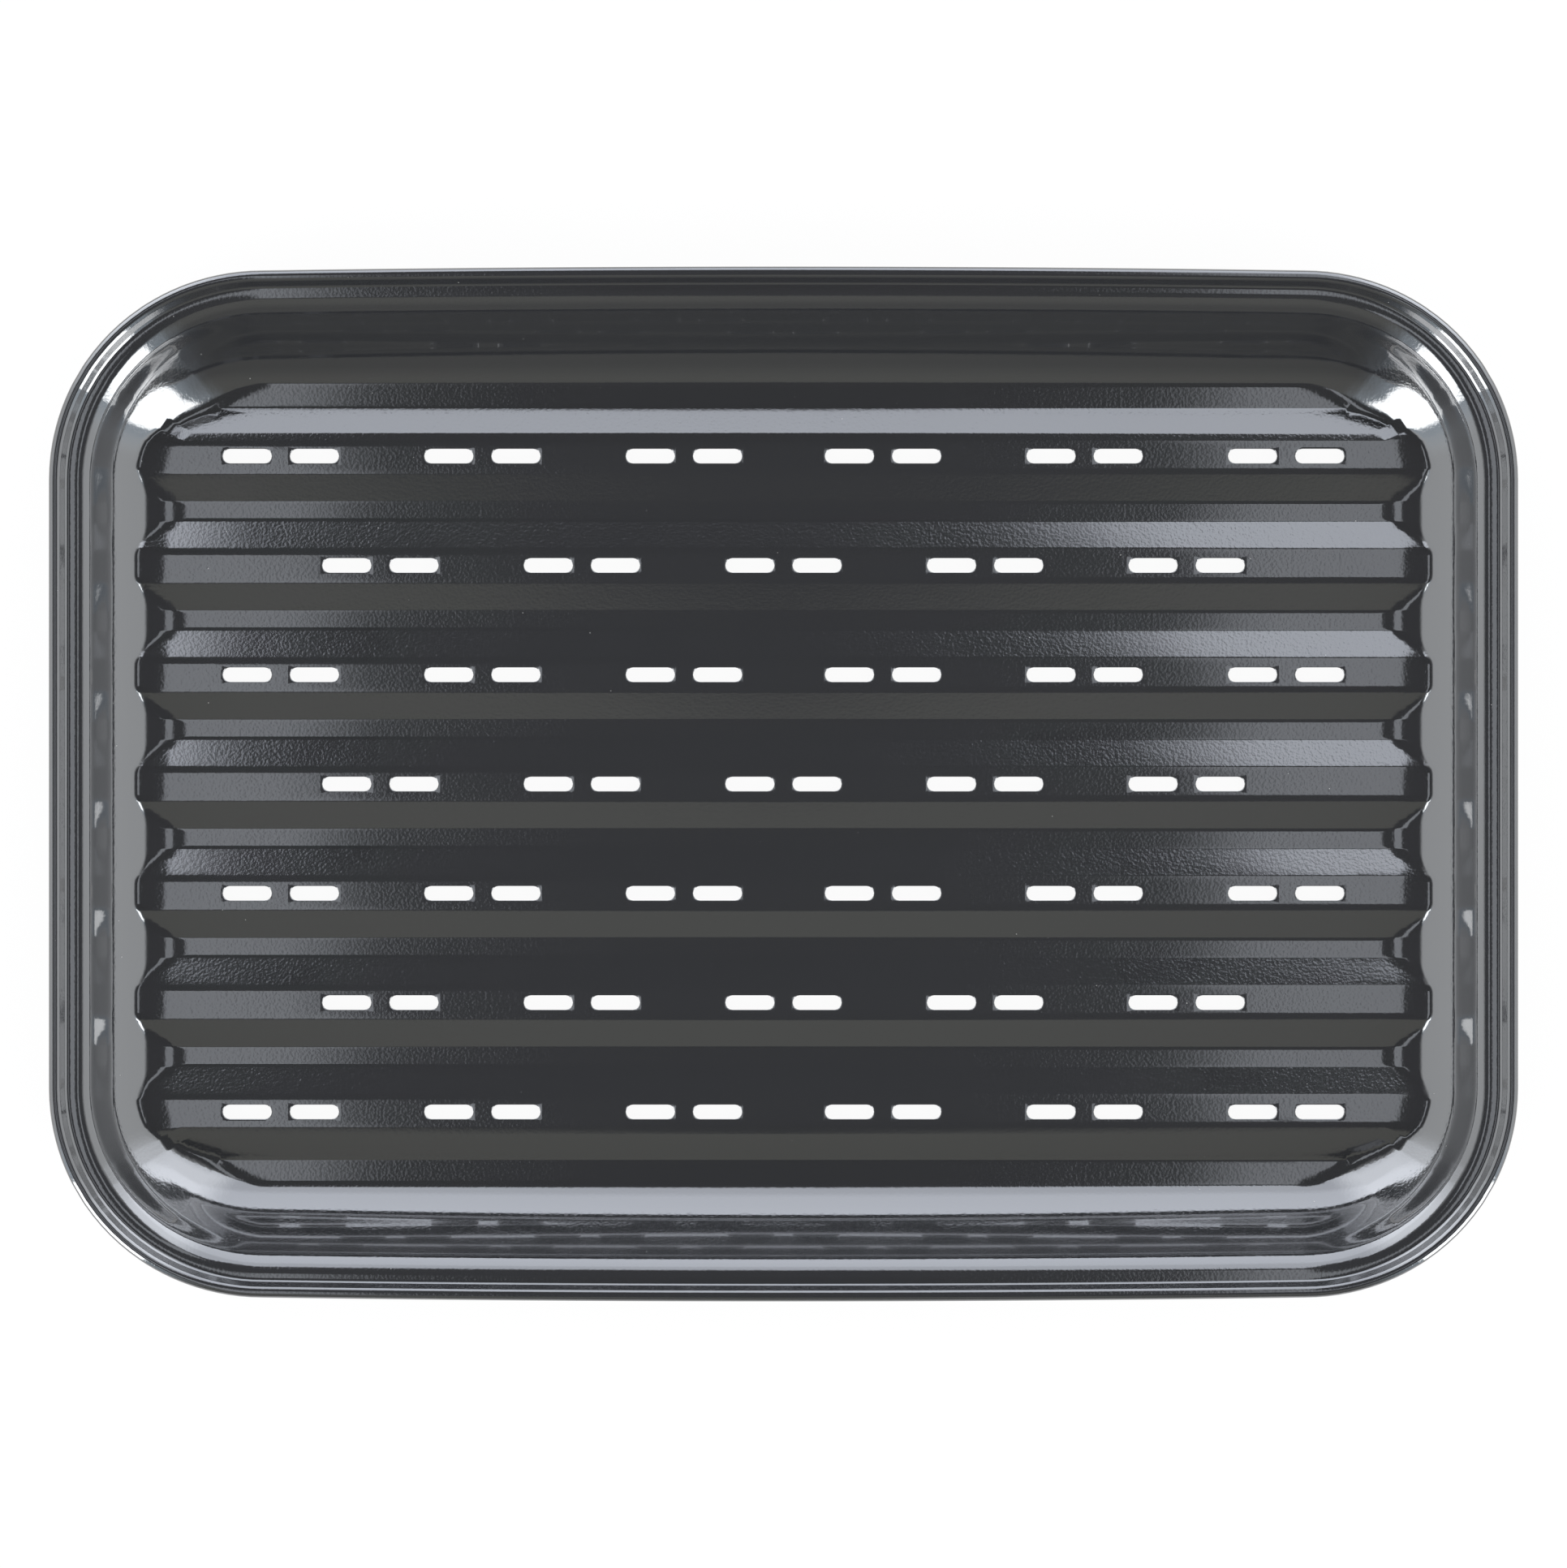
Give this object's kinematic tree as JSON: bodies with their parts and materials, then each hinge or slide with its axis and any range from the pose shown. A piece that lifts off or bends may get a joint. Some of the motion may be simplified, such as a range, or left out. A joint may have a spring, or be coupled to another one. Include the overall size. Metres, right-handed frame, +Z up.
{
  "type": "grill plate",
  "caption": "Shallow rectangular grill tray of enamelled sheet steel, with a rolled edge, a ribbed floor and rows of slots through the rib tops.",
  "frame": {"origin": "on the surface that the tray stands on, under the middle of its outline", "axes": "+X along the ridges and the long sides, +Z up out of the tray"},
  "size_m": [0.34, 0.2394, 0.022],
  "materials": {
    "black_enamel": "glossy"
  },
  "bodies": {
    "root": {"grill_plate": "black_enamel"}
  },
  "joints": []
}
